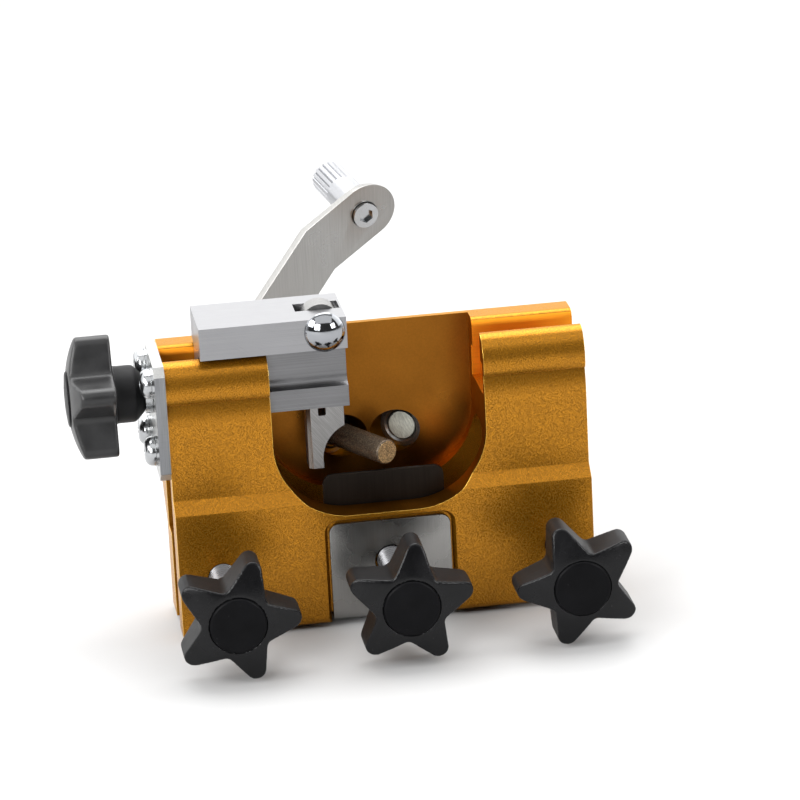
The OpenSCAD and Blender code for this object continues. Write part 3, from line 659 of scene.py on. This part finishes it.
def merged_copy(node: str, name: str, flat: float = 0.6) -> Piece:
    """Copies a CAD node's mesh into a new piece and merges its loose triangles.

    Args:
        node: the CAD node.
        name: the new piece's name.
        flat: the angle up to which triangles become one face, in degrees.

    Returns:
        The new piece.
    """
    obj = copied(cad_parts[node], name)
    only(obj)
    bpy.ops.mesh.customdata_custom_splitnormals_clear()
    edit()
    bpy.ops.mesh.remove_doubles(threshold=WELD)
    bpy.ops.mesh.dissolve_limited(angle_limit=math.radians(flat))
    done()
    return obj


class Assembly:
    """What all sub-assemblies share: ways to dress CAD nodes and to add pieces."""

    def keep(self, look: Look, *nodes: str) -> None:
        """Leaves CAD nodes in their shape and gives them a finish.

        Args:
            look: the finish.
            nodes: the CAD nodes.
        """
        for node in nodes:
            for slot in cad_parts[node].material_slots:
                slot.material = look.material
            LOG.info("%s keeps its shape, finish %s", node, look.value.name)

    def add(self, obj: Piece, look: Look, body: str, node: str) -> Piece:
        """Gives a piece its finish and its body, and hides the CAD node that it stands for.

        Args:
            obj: the piece.
            look: its finish.
            body: the body it moves with.
            node: the CAD node it replaces.

        Returns:
            The piece.
        """
        obj.data.materials.clear()
        obj.data.materials.append(look.material)
        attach(obj, body)
        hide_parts(node)
        LOG.info("%s rides on %s, %d faces", obj.name, body, len(obj.data.polygons))
        return obj

    def soften(self, node: str, look: Look, body: str, edge: float, steps: int = 2,
               sharp: float = 38.0, where: Optional[EdgeTest] = None) -> Piece:
        """Replaces a CAD node by a copy with broken edges.

        Args:
            node: the CAD node.
            look: the copy's finish.
            body: the body it moves with.
            edge: the greatest width of the broken edge, in metres.
            steps: the number of faces across it.
            sharp: the angle from which an edge is broken, in degrees.
            where: a test of an edge's two ends that picks the edges to break.

        Returns:
            The copy.
        """
        obj = merged_copy(node, node + "_finished")
        limit = "ANGLE"
        if where is not None:
            limit = "WEIGHT"
            weigh_sharp_edges(obj, sharp, where)
        modify(obj, "BEVEL", width=edge, segments=steps, limit_method=limit,
               angle_limit=math.radians(sharp), use_clamp_overlap=True,
               miter_outer="MITER_ARC", loop_slide=True)
        smooth(obj, sharp)
        return self.add(obj, look, body, node)


@dataclass
class Thread:
    """A screw thread with flattened crests, cut square at both ends."""

    crest: float
    root: float
    pitch: float = 1.0 * MM
    flank_share: float = 0.40
    crest_share: float = 0.14
    root_share: float = 0.06
    steps: int = 28

    def build(self, name: str, length: float) -> Piece:
        """Winds the thread's profile into a closed rod along Z.

        Args:
            name: the rod's name.
            length: its length from Z 0.

        Returns:
            The rod.
        """
        bpy.ops.object.select_all(action="DESELECT")
        bpy.ops.mesh.primitive_plane_add(size=self.pitch, location=(0.0, 0.0, 0.0))
        obj = bpy.context.object
        obj.name = name
        edit()
        bpy.ops.mesh.merge(type="CENTER")
        bpy.ops.transform.translate(value=(self.root, 0.0, -self.pitch))
        rise = self.crest - self.root
        profile = ((rise, self.flank_share), (0.0, self.crest_share),
                   (-rise, self.flank_share), (0.0, self.root_share))
        for out, up in profile:
            step = {"value": (out, 0.0, up * self.pitch)}
            bpy.ops.mesh.extrude_vertices_move(TRANSFORM_OT_translate=step)
        done()
        turns = math.ceil(length / self.pitch) + 2
        modify(obj, "SCREW", axis="Z", angle=2 * math.pi, screw_offset=self.pitch, iterations=turns,
               steps=self.steps, render_steps=self.steps, use_merge_vertices=True, merge_threshold=WELD)
        for height, direction in ((0.0, -1.0), (length, 1.0)):
            edit()
            bpy.ops.mesh.bisect(plane_co=(0, 0, height), plane_no=(0, 0, direction),
                                use_fill=True, clear_outer=True)
            done()
        edit()
        bpy.ops.mesh.remove_doubles(threshold=WELD)
        bpy.ops.mesh.normals_make_consistent(inside=False)
        done()
        return obj


@dataclass
class CrossHead:
    """A pan-head screw with a cross recess, standing on Z 0 with its shank below."""

    head_d: float = 6.0 * MM
    head_h: float = 2.2 * MM
    sides: int = 48
    crown_share: float = 0.70
    crown_steps: int = 8
    foot: float = 0.12 * MM
    shank_d: float = 2.8 * MM
    shank: float = 7.0 * MM
    slot_l: float = 2.6 * MM
    slot_w: float = 0.72 * MM
    slot_depth: float = 1.25 * MM
    slot_taper: float = 0.55
    smooth_angle: float = 32.0

    def build(self, name: str) -> Piece:
        """Turns the head, draws out the shank and sinks the recess.

        Args:
            name: the screw's name.

        Returns:
            The screw.
        """
        bpy.ops.object.select_all(action="DESELECT")
        bpy.ops.mesh.primitive_cylinder_add(
            vertices=self.sides, radius=self.head_d / 2, depth=self.head_h,
            location=(0, 0, self.head_h / 2))
        obj = bpy.context.object
        obj.name = name
        settle(obj)
        edit("DESELECT")
        pick_edges(obj, lambda a, b: min(a.z, b.z) > self.head_h * 0.9)
        bpy.ops.mesh.bevel(offset=self.head_h * self.crown_share, segments=self.crown_steps,
                           profile=0.5, affect="EDGES")
        pick_edges(obj, lambda a, b: max(a.z, b.z) < self.head_h * 0.02)
        bpy.ops.mesh.bevel(offset=self.foot, segments=2, affect="EDGES")
        pick_faces(obj, lambda c, n: n.z < -0.99 and c.z < 0.05 * MM)
        bpy.ops.mesh.inset(thickness=(self.head_d - self.shank_d) / 2 - self.foot)
        bpy.ops.mesh.extrude_region_move(TRANSFORM_OT_translate={"value": (0, 0, -self.shank)})
        done()
        for turn in (0.0, 90.0):
            self.sink(obj, turn)
        smooth(obj, self.smooth_angle)
        return obj

    def sink(self, head: Piece, turn: float) -> None:
        """Cuts one arm of the recess, narrower at its bottom.

        Args:
            head: the screw.
            turn: the arm's turn about Z, in degrees.
        """
        bpy.ops.object.select_all(action="DESELECT")
        bpy.ops.mesh.primitive_cube_add(size=1.0, location=(0, 0, self.head_h))
        cutter = bpy.context.object
        cutter.scale = (self.slot_l, self.slot_w, self.slot_depth * 2)
        cutter.rotation_euler = (0, 0, math.radians(turn))
        settle(cutter)
        edit("DESELECT")
        pick_faces(cutter, lambda c, n: n.z < -0.9)
        bpy.ops.transform.resize(value=(self.slot_taper, self.slot_taper, 1.0), center_override=(0, 0, 0))
        done()
        modify(head, "BOOLEAN", operation="DIFFERENCE", solver="EXACT", object=cutter)
        bpy.data.objects.remove(cutter)


# ---------------------------------------------------------------- sub-assemblies


@dataclass
class Housing(Assembly):
    """The gold body with its end plate, screws, bushes and spring clip."""

    body: str = "frame"
    edge: float = 0.28 * MM
    plate_edge: float = 0.22 * MM
    clip_edge: float = 0.16 * MM
    slack: float = 0.05 * MM
    edge_slack: float = 0.4 * MM
    edge_slant: tuple[float, float] = (0.2, 0.97)
    wall: float = -5.2 * MM
    end: float = 42.5 * MM
    window_half: float = 21.7 * MM
    window_low: float = 23.0 * MM
    pocket_floor: float = 9.5 * MM
    plate_face: float = -45.2 * MM
    lips: float = 6.9 * MM
    tee_floor: float = 44.4 * MM
    lip_top: float = 56.6 * MM
    clip_middle: float = -6.0 * MM
    screw_y: float = 6.7 * MM
    screw_z: tuple[float, float] = (39.2 * MM, 53.4 * MM)
    screw_turns: tuple[float, ...] = (12.0, 64.0, 38.0, 81.0)

    def build(self) -> None:
        """Makes the housing's pieces."""
        shell = self.soften("body", Look.GOLD, self.body, self.edge, where=self.is_trimmed)
        # Painted light: the faces between the lips and in the T-slot get a much brighter gold.
        refinish(shell, Look.GOLD_DRAWN, self.is_drawn)
        refinish(shell, Look.GOLD_MILLED, self.is_milled)
        # Painted highlight: the slanting faces round the ends and the window's front get a brighter gold.
        refinish(shell, Look.GOLD_EDGE, self.is_edge)
        plate = self.soften("end_plate", Look.PLATE, self.body, self.plate_edge)
        # Painted shade: the plate's edge faces that look forward get a darker zinc.
        refinish(plate, Look.PLATE_EDGE, lambda spots, normal: normal.y < -0.9)
        clip = self.soften("spring_clip", Look.SHEET, self.body, self.clip_edge)
        # Painted shade: the clip's inner leg gets a near-black copy of its steel.
        refinish(clip, Look.SHEET_DARK, lambda spots, normal: all(p.y > self.clip_middle for p in spots))
        self.screws()
        self.keep(Look.ZINC, "end_plate_washers")
        self.keep(Look.GROUND, "guide_bush_left", "guide_bush_right")

    def in_window(self, spots: Sequence[Vector], slack: float) -> bool:
        """Tells whether spots of the body lie within the window's width and above its bottom."""
        reach, low = self.window_half + slack, self.window_low - slack
        return all(abs(p.x) < reach and p.z > low for p in spots)

    def is_trimmed(self, one: Vector, other: Vector) -> bool:
        """Tells whether an edge of the body is broken.

        Args:
            one: one end of the edge.
            other: its other end.

        Returns:
            True round an end, on the rear lip's top and round the window's front.
        """
        spots = (one, other)
        if all(abs(p.x) > self.end - self.slack for p in spots):
            return True
        if all(p.z > self.lip_top - self.slack and p.y > 0.0 for p in spots):
            return True
        return self.in_window(spots, self.slack) and all(p.y < self.wall for p in spots)

    def is_drawn(self, spots: list[Vector], normal: Vector) -> bool:
        """Tells whether a face of the body lies between the lips or in the T-slot."""
        between = all(abs(p.y) < self.lips and self.tee_floor < p.z < self.lip_top for p in spots)
        return normal.z < 0.8 and between

    def is_milled(self, spots: list[Vector], normal: Vector) -> bool:
        """Tells whether a face of the body is one that the window's cutter left."""
        deep = all(p.y > self.pocket_floor - self.slack for p in spots)
        return self.in_window(spots, self.slack) and (normal.y > -0.55 or deep)

    def is_edge(self, spots: list[Vector], normal: Vector) -> bool:
        """Tells whether a face of the body is a broken edge.

        Args:
            spots: the face's corners.
            normal: its normal.

        Returns:
            True for a slanting face round an end or round the window's front.
        """
        least, most = self.edge_slant
        if all(abs(p.x) > self.end - self.edge_slack for p in spots):
            return least < abs(normal.x) < most
        in_front = self.in_window(spots, self.edge_slack) and all(p.y < self.wall for p in spots)
        return in_front and -most < normal.y < -least

    def screws(self) -> None:
        """Sets four cross-head screws in the end plate."""
        first = CrossHead().build("plate_screw_first")
        spots = [(y, z) for z in self.screw_z for y in (-self.screw_y, self.screw_y)]
        for count, ((y, z), turn) in enumerate(zip(spots, self.screw_turns)):
            screw = copied(first, f"plate_screw_{count + 1}")
            lay(screw, Axis.X_BACK, (self.plate_face, y, z), turn)
            self.add(screw, Look.ZINC, self.body, "end_plate_screws")
        bpy.data.objects.remove(first)


@dataclass
class StarKnob(Assembly):
    """A five-lobed knob with its centre cap and its threaded screw."""

    prefix: str
    body: str
    cap: str
    axis: Axis
    start: Xyz
    length: float
    rounds: int = 8
    look: Look = Look.BLACK
    hub: float = 0.0
    voxel: float = 0.22 * MM
    ease: float = 0.5
    side_slant: float = 0.2
    cap_edge: float = 0.25 * MM
    cap_steps: int = 3
    cap_sharp: float = 25.0
    cap_smooth: float = 80.0
    thread_smooth: float = 40.0
    thread: Thread = field(default_factory=lambda: Thread(crest=2.92 * MM, root=2.38 * MM))

    def build(self) -> None:
        """Makes the knob, its cap and its screw."""
        knob = merged_copy(self.prefix + "_knob", self.prefix + "_knob_moulded")
        modify(knob, "REMESH", mode="VOXEL", voxel_size=self.voxel)
        modify(knob, "SMOOTH", factor=self.ease, iterations=self.rounds)
        bpy.ops.object.shade_smooth()
        self.add(knob, self.look, self.body, self.prefix + "_knob")
        refinish(knob, Look.BLACK_SIDE, self.is_hub if self.hub else self.is_side)
        cap = self.soften(self.cap, Look.BLACK_CAP, self.body, self.cap_edge, self.cap_steps, self.cap_sharp)
        smooth(cap, self.cap_smooth)
        rod = self.thread.build(self.prefix + "_screw_threaded", self.length)
        lay(rod, self.axis, self.start)
        smooth(rod, self.thread_smooth)
        self.add(rod, Look.THREAD, self.body, self.prefix + "_screw")

    def along(self) -> Vector:
        """Returns the knob's axis."""
        return self.axis.value.to_3x3() @ Vector((0.0, 0.0, 1.0))

    def radius(self, spot: Vector) -> float:
        """Returns how far a spot lies from the knob's axis."""
        off = spot - Vector(self.start)
        return (off - self.along() * off.dot(self.along())).length

    def is_side(self, spots: list[Vector], normal: Vector) -> bool:
        """Tells whether a face of the knob lies along its axis."""
        return abs(normal.dot(self.along())) < self.side_slant

    def is_hub(self, spots: list[Vector], normal: Vector) -> bool:
        """Tells whether a face of the knob belongs to its hub."""
        return max(map(self.radius, spots)) < self.hub


@dataclass
class FeedDrive(Assembly):
    """The feed knob on its screw at the left end, with washer and ring."""

    body: str = "feed"
    knob_rounds: int = 24
    knob_hub: float = 6.0 * MM
    screw_start: Xyz = (-58.4 * MM, 0.0, 49.5 * MM)
    screw_length: float = 34.4 * MM

    def build(self) -> None:
        """Makes the drive's pieces."""
        StarKnob("feed", self.body, "feed_knob_cap", Axis.X, self.screw_start, self.screw_length,
                 self.knob_rounds, Look.BLACK_FEED, self.knob_hub).build()
        self.keep(Look.ZINC, "feed_washer")
        self.keep(Look.OXIDE, "feed_ring")


@dataclass
class Carriage(Assembly):
    """The silver block that the feed screw moves, with its bolt and pawl."""

    body: str = "carriage"
    pawl_body: str = "pawl"
    edge: float = 0.25 * MM
    bolt_edge: float = 0.2 * MM
    bolt_steps: int = 3
    pawl_edge: float = 0.2 * MM
    flange: float = 57.8 * MM

    def build(self) -> None:
        """Makes the carriage's pieces."""
        block = self.soften("carriage_block", Look.ALLOY, self.body, self.edge)
        # Painted shade: the faces below the flange get a darker alloy with more scuffs.
        refinish(block, Look.ALLOY_LOW, lambda spots, normal: all(p.z < self.flange for p in spots))
        self.soften("pivot_bolt", Look.CHROME, self.body, self.bolt_edge, self.bolt_steps)
        self.soften("pawl", Look.GROUND, self.pawl_body, self.pawl_edge)


@dataclass
class Crank(Assembly):
    """The spindle with its burr, hub, bent arm and knurled handle."""

    body: str = "crank"
    handle_body: str = "handle"
    arm_edge: float = 0.2 * MM
    handle_edge: float = 0.08 * MM
    hub_edge: float = 0.25 * MM
    voxel: float = 0.11 * MM
    grain: float = 0.2 * MM
    rise: float = 0.07 * MM
    sunk_share: float = 0.75
    bore_angle: float = 30.0
    tip: float = -3.9 * MM

    def build(self) -> None:
        """Makes the crank's pieces."""
        self.burr()
        self.soften("crank_arm", Look.ARM, self.body, self.arm_edge)
        self.soften("crank_handle", Look.HANDLE_ALLOY, self.handle_body, self.handle_edge, 1)
        self.soften("crank_hub", Look.ZINC, self.body, self.hub_edge)
        self.keep(Look.GROUND, "spindle", "burr_shank")
        self.keep(Look.OXIDE, "hub_set_screw")
        self.keep(Look.ZINC, "hub_screw", "handle_screw", "spindle_washer")

    def burr(self) -> None:
        """Covers the burr's head with raised grit."""
        obj = merged_copy("burr_head", "burr_gritted")
        modify(obj, "REMESH", mode="VOXEL", voxel_size=self.voxel)
        pattern = bpy.data.textures.new("burr_grains", "CLOUDS")
        pattern.noise_scale = self.grain
        pattern.noise_depth = 1
        modify(obj, "DISPLACE", texture=pattern, texture_coords="LOCAL",
               strength=self.rise, mid_level=self.sunk_share)
        only(obj)
        bpy.ops.object.shade_smooth()
        self.add(obj, Look.GRIT, self.body, "burr_head")
        turn = math.radians(self.bore_angle)
        along = Vector((-math.sin(turn), math.cos(turn), 0.0))
        refinish(obj, Look.GRIT_TIP, lambda spots, normal: all(p.dot(along) < self.tip for p in spots))


@dataclass
class BorePlug(Assembly):
    """The rod that closes the unused bore."""

    body: str = "plug"
    edge: float = 0.3 * MM
    front: float = 15.0 * MM

    def build(self) -> None:
        """Makes the plug."""
        rod = self.soften("bore_plug", Look.GROUND, self.body, self.edge)
        refinish(rod, Look.SAWN, self.is_sawn)

    def is_sawn(self, spots: list[Vector], normal: Vector) -> bool:
        """Tells whether a face of the rod is its sawn front end."""
        return normal.y < -0.7 and all(p.y < self.front for p in spots)


@dataclass
class Clamps(Assembly):
    """The three clamp screws along the front, each with knob, cap and pad."""

    height: float = 12.4 * MM
    length: float = 29.4 * MM
    places: tuple[tuple[str, float, float], ...] = (
        ("left_clamp", -33.7 * MM, -35.4 * MM),
        ("middle_clamp", 0.8 * MM, -35.4 * MM),
        ("right_clamp", 35.3 * MM, -33.9 * MM),
    )

    def build(self) -> None:
        """Makes the clamps' pieces."""
        for name, x, y in self.places:
            StarKnob(name, name, name + "_cap", Axis.Y, (x, y, self.height), self.length).build()
            self.keep(Look.BRASS, name + "_pad")


# ---------------------------------------------------------------- studio


@dataclass
class SoftBox:
    """A soft rectangular white light."""

    name: str
    place: Xyz
    size: tuple[float, float]
    power: float
    aim: Xyz = (0.0, 0.0, 0.03)

    def build(self) -> None:
        """Hangs the light and turns it to its aim."""
        direction = Vector(self.aim) - Vector(self.place)
        turn = direction.to_track_quat("-Z", "Y").to_euler()
        bpy.ops.object.light_add(type="AREA", location=self.place, rotation=turn)
        light = bpy.context.object
        light.name = self.name
        light.data.shape = "RECTANGLE"
        light.data.size, light.data.size_y = self.size
        light.data.energy = self.power


@dataclass
class Studio:
    """The pale floor, the soft light and the camera."""

    floor_z: float = -0.9 * MM
    floor_size: float = 12.0
    floor_depth: float = 0.02
    floor_color: Rgb = (0.47, 0.47, 0.47)
    floor_cloud: float = 0.2
    floor_drift: float = 0.995
    floor_roughness: float = 0.9
    floor_gloss: float = 0.1
    target: Xyz = (0.0, 0.0, 0.030)
    distance: float = 0.900
    azimuth: float = 7.202
    elevation: float = 19.534
    roll: float = 3.088
    focal_px: float = 4415.0
    image_px: float = 800.0
    center_px: tuple[float, float] = (375.85, 461.54)
    sensor_mm: float = 36.0
    clip: tuple[float, float] = (0.01, 50.0)
    sky_front: float = 0.06
    sky_back: float = 2.0
    sky_fade: float = 0.35
    boxes: tuple[SoftBox, ...] = (
        SoftBox("box_above", (0.0, 0.30, 0.85), (0.9, 0.75), 7.8),
        SoftBox("box_front", (0.0, -0.50, 0.82), (1.3, 0.6), 3.0),
        SoftBox("box_low", (-0.6, -0.9, 0.45), (0.5, 0.5), 8.0),
        SoftBox("box_low_right", (0.8, -0.85, 0.45), (0.4, 0.4), 5.0),
        SoftBox("box_right", (0.85, -0.05, 0.55), (0.6, 0.8), 2.5),
        SoftBox("box_left", (-0.80, -0.33, 0.55), (0.45, 0.45), 6.0),
    )

    def build(self) -> None:
        """Makes the floor, sky, lights and camera."""
        self.floor()
        self.sky()
        for box in self.boxes:
            box.build()
        self.camera()
        view = bpy.context.scene.view_settings
        view.view_transform = "Standard"
        view.look = "None"

    def floor(self) -> None:
        """Lays the floor with its edge turned down."""
        bpy.ops.object.select_all(action="DESELECT")
        bpy.ops.mesh.primitive_plane_add(size=self.floor_size, location=(0, 0, self.floor_z))
        obj = bpy.context.object
        obj.name = "floor"
        settle(obj)
        edit()
        down = {"value": (0, 0, -self.floor_depth)}
        bpy.ops.mesh.extrude_region_move(TRANSFORM_OT_translate=down)
        bpy.ops.mesh.select_all(action="SELECT")
        bpy.ops.mesh.normals_make_consistent(inside=False)
        done()
        obj.data.materials.clear()
        shader = ShaderTree("floor_white")
        drift = shader.speckle(self.floor_cloud)
        tones = ((0.2, shade(self.floor_color, self.floor_drift)), (0.8, self.floor_color))
        shader.wear(shader.ramp(drift, tones))
        set_sockets(shader.surface, {
            "Roughness": self.floor_roughness, "Specular IOR Level": self.floor_gloss})
        obj.data.materials.append(shader.material)

    def sky(self) -> None:
        """Lights the room white behind, and dimmer in front."""
        world = bpy.data.worlds.new("room")
        world.use_nodes = True
        bpy.context.scene.world = world
        nodes, links = world.node_tree.nodes, world.node_tree.links
        split = nodes.new("ShaderNodeSeparateXYZ")
        links.new(nodes.new("ShaderNodeTexCoord").outputs["Generated"], split.inputs[0])
        level = nodes.new("ShaderNodeMapRange")
        level.interpolation_type = "SMOOTHSTEP"
        set_sockets(level, {"From Min": -self.sky_fade, "From Max": self.sky_fade,
                            "To Min": self.sky_front, "To Max": self.sky_back})
        links.new(split.outputs["Y"], level.inputs["Value"])
        links.new(level.outputs["Result"], nodes["Background"].inputs["Strength"])
        set_sockets(nodes["Background"], {"Color": (1.0, 1.0, 1.0, 1.0)})

    def camera(self) -> None:
        """Sets the camera at the picture's angle, aimed at its middle."""
        az, el, roll = (math.radians(a) for a in (self.azimuth, self.elevation, self.roll))
        ahead = Vector((math.sin(az) * math.cos(el), math.cos(az) * math.cos(el), -math.sin(el)))
        side = Vector((math.cos(az), -math.sin(az), 0.0))
        up = side.cross(ahead)
        place = Vector(self.target) - self.distance * ahead
        right = math.cos(roll) * side - math.sin(roll) * up
        top = math.sin(roll) * side + math.cos(roll) * up
        across, down = ((self.image_px / 2 - c) / self.focal_px for c in self.center_px)
        aim = ahead + right * across - top * down
        aim.normalize()
        right = (right - aim * right.dot(aim)).normalized()
        top = right.cross(aim)
        turn = Matrix((right, top, -aim)).transposed().to_4x4()
        bpy.ops.object.camera_add()
        camera = bpy.context.object
        camera.name = "camera"
        camera.matrix_world = Matrix.Translation(place) @ turn
        camera.data.sensor_width = self.sensor_mm
        camera.data.lens = self.focal_px / self.image_px * self.sensor_mm
        camera.data.clip_start, camera.data.clip_end = self.clip
        bpy.context.scene.camera = camera


def main() -> None:
    """Builds the sub-assemblies and the studio in order."""
    for assembly in (Housing(), FeedDrive(), Carriage(), Crank(), BorePlug(), Clamps()):
        LOG.info("building %s", type(assembly).__name__)
        assembly.build()
    Studio().build()


if __name__ == "__main__":
    main()
